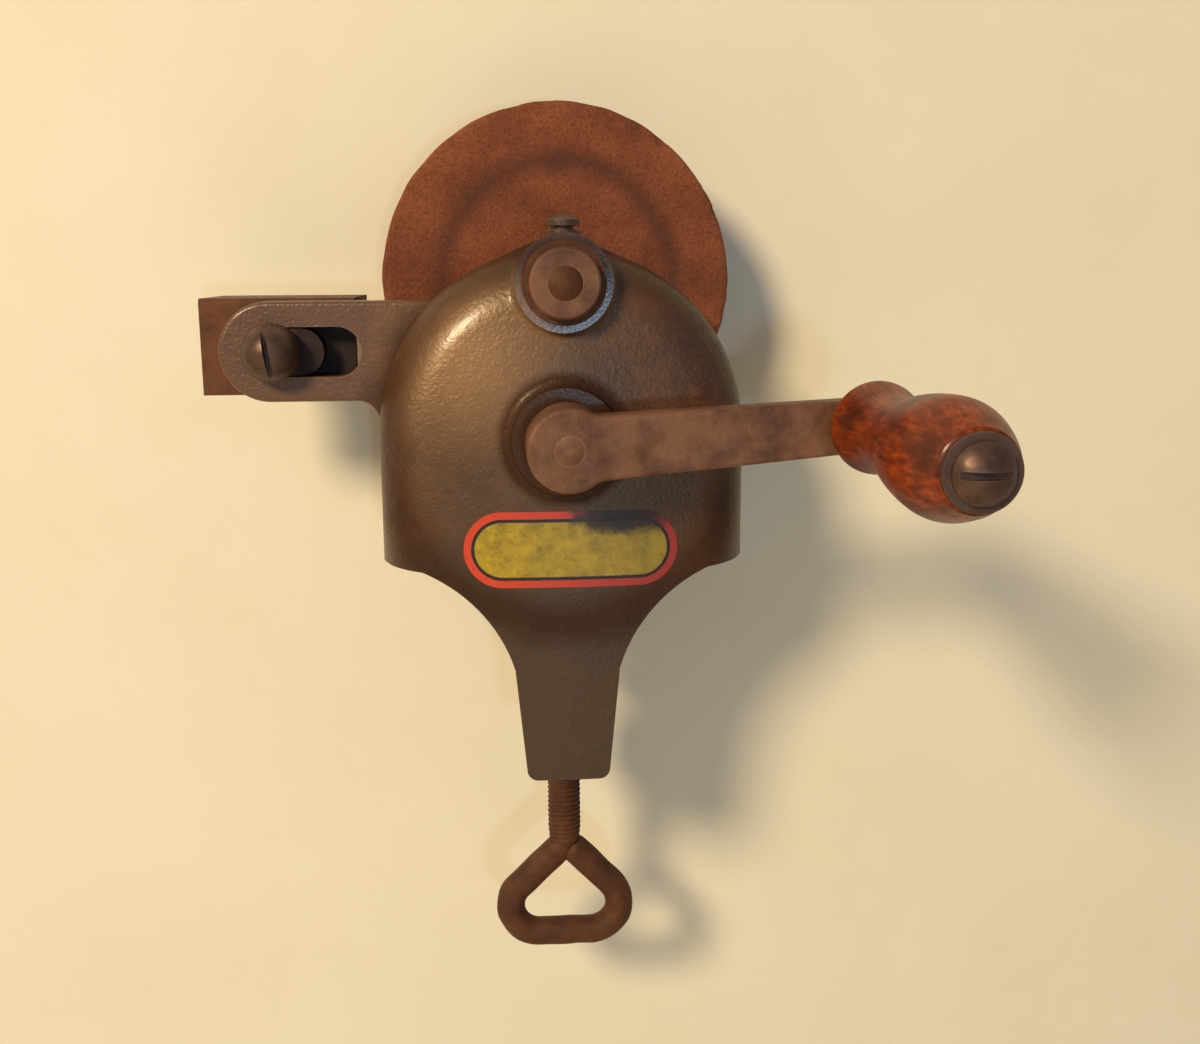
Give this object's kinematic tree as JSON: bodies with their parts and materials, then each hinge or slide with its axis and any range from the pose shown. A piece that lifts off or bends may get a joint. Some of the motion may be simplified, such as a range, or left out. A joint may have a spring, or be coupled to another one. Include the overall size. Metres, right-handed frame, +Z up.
{
  "type": "hand crank bench grinder",
  "caption": "Hand-cranked bench grinder: geared cast case with a wheel, a wooden-handled crank, a slotted tool rest and a screw clamp for a bench edge.",
  "frame": {"origin": "on the bench seat under the foot, where the axis of the clamp screw meets it", "axes": "+X to the operator's right, +Y away from the operator towards the grinding wheel, +Z up"},
  "size_m": [0.1877, 0.179, 0.2521],
  "materials": {
    "housing_paint": "worn dark brown enamel on pebbly cast iron",
    "crank_iron": "handled, dull brown cast iron",
    "rest_iron": "brown cast iron with a film of rust",
    "rusty_iron": "dark rusty iron",
    "gear_iron": "oiled, machined cast iron",
    "old_steel": "tarnished steel",
    "bush_bronze": "dull bearing bronze",
    "lead_bush": "dull cast soft metal",
    "gasket_paper": "oil-soaked card",
    "abrasive": "coarse red-brown grit",
    "varnished_wood": "glossy red-brown varnish on turned wood"
  },
  "bodies": {
    "housing": {"gear_case": "housing_paint", "back_cover": "housing_paint", "cover_gasket": "gasket_paper", "cover_screws": "old_steel", "oil_cap": "old_steel", "rear_spindle_bush": "bush_bronze", "front_spindle_bush": "old_steel", "bush_lock_ring": "old_steel", "front_crank_bush": "bush_bronze", "rear_crank_bush": "bush_bronze"},
    "crank": {"crank_arm": "crank_iron", "crank_axle": "old_steel", "thrust_washer": "old_steel", "drive_gear": "gear_iron", "gear_key": "old_steel", "handle_bolt": "old_steel", "handle_washer": "old_steel", "handle_nut": "old_steel"},
    "spindle_group": {"spindle": "old_steel", "inner_flange": "old_steel", "outer_flange": "old_steel", "paper_washers": "gasket_paper", "grinding_wheel": "abrasive", "wheel_bush": "lead_bush", "wheel_nut": "old_steel"},
    "grip": {"handle_grip": "varnished_wood"},
    "pad": {"clamp_pad": "rusty_iron"},
    "screw": {"clamp_screw": "rusty_iron"},
    "rest": {"tool_rest": "rest_iron", "rest_screw": "old_steel", "rest_washer": "old_steel", "rest_nut": "old_steel"}
  },
  "joints": [
    {"name": "crank_turn", "type": "hinge", "parent": "housing", "child": "crank", "pos_m": [0, -0.0368, 0.0425], "axis": [0, 1, 0], "continuous": true},
    {"name": "spindle_spin", "type": "hinge", "parent": "housing", "child": "spindle_group", "pos_m": [0, 0, 0.083], "axis": [0, 1, 0], "continuous": true},
    {"name": "grip_spin", "type": "hinge", "parent": "crank", "child": "grip", "pos_m": [0.07551, -0.0546, 0.04791], "axis": [0, 1, 0], "continuous": true},
    {"name": "clamp_travel", "type": "slide", "parent": "housing", "child": "pad", "axis": [0, 0, 1], "range_m": [-0.008, 0.0215]},
    {"name": "clamp_screw_turn", "type": "hinge", "parent": "pad", "child": "screw", "pos_m": [0, 0, -0.05], "axis": [0, 0, 1], "range_deg": [-1920, 5160]},
    {"name": "rest_slide", "type": "slide", "parent": "housing", "child": "rest", "axis": [1, 0, 0], "range_m": [-0.0035, 0.005]}
  ],
  "couplings": [
    {"joint": "spindle_spin", "follows": "crank_turn", "ratio": -8},
    {"joint": "clamp_travel", "follows": "clamp_screw_turn", "m_per_rad": 0.00023873}
  ]
}
